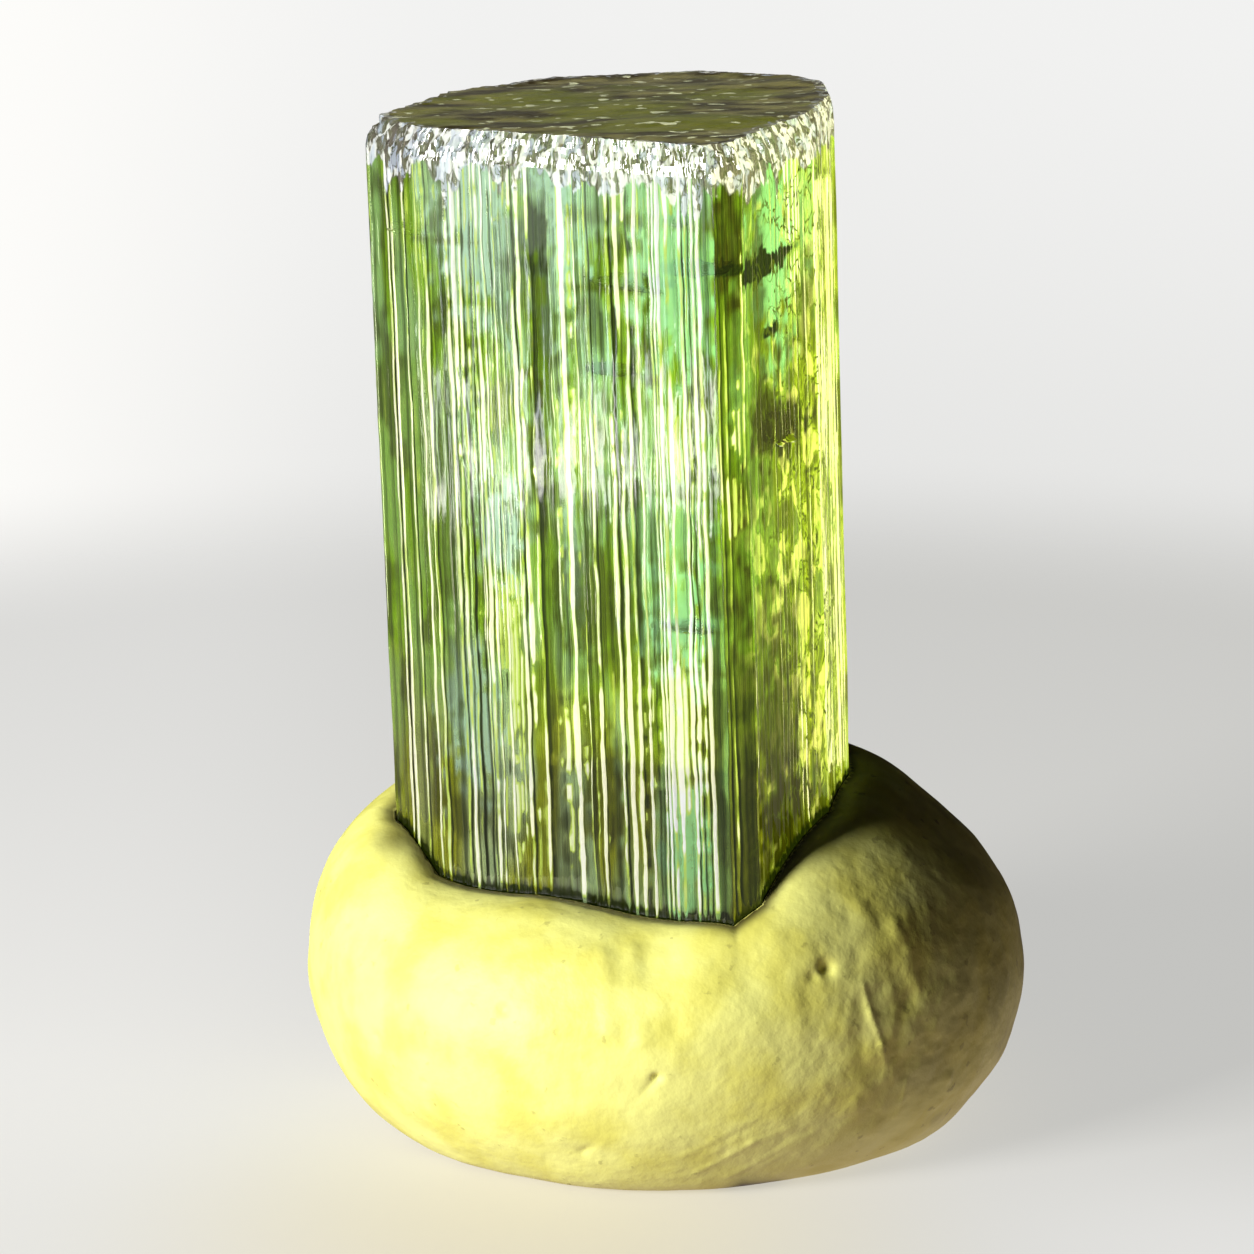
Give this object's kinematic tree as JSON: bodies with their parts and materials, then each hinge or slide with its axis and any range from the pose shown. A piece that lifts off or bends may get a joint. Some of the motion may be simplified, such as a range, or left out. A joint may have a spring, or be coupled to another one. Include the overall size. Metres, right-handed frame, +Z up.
{
  "type": "tourmaline crystal",
  "caption": "Green tourmaline prism with ribbed sides and a flat end, standing upright in a pressed lump of pale yellow display putty.",
  "frame": {"origin": "middle of the putty's flat underside", "axes": "+Z up from the surface it stands on, along the crystal; -Y towards the crystal's front corner, +X to the right"},
  "size_m": [0.0272, 0.0256, 0.0389],
  "materials": {
    "green_tourmaline": "polished",
    "display_putty": "matte"
  },
  "bodies": {
    "root": {"tourmaline_crystal": "green_tourmaline", "putty_base": "display_putty"}
  },
  "joints": []
}
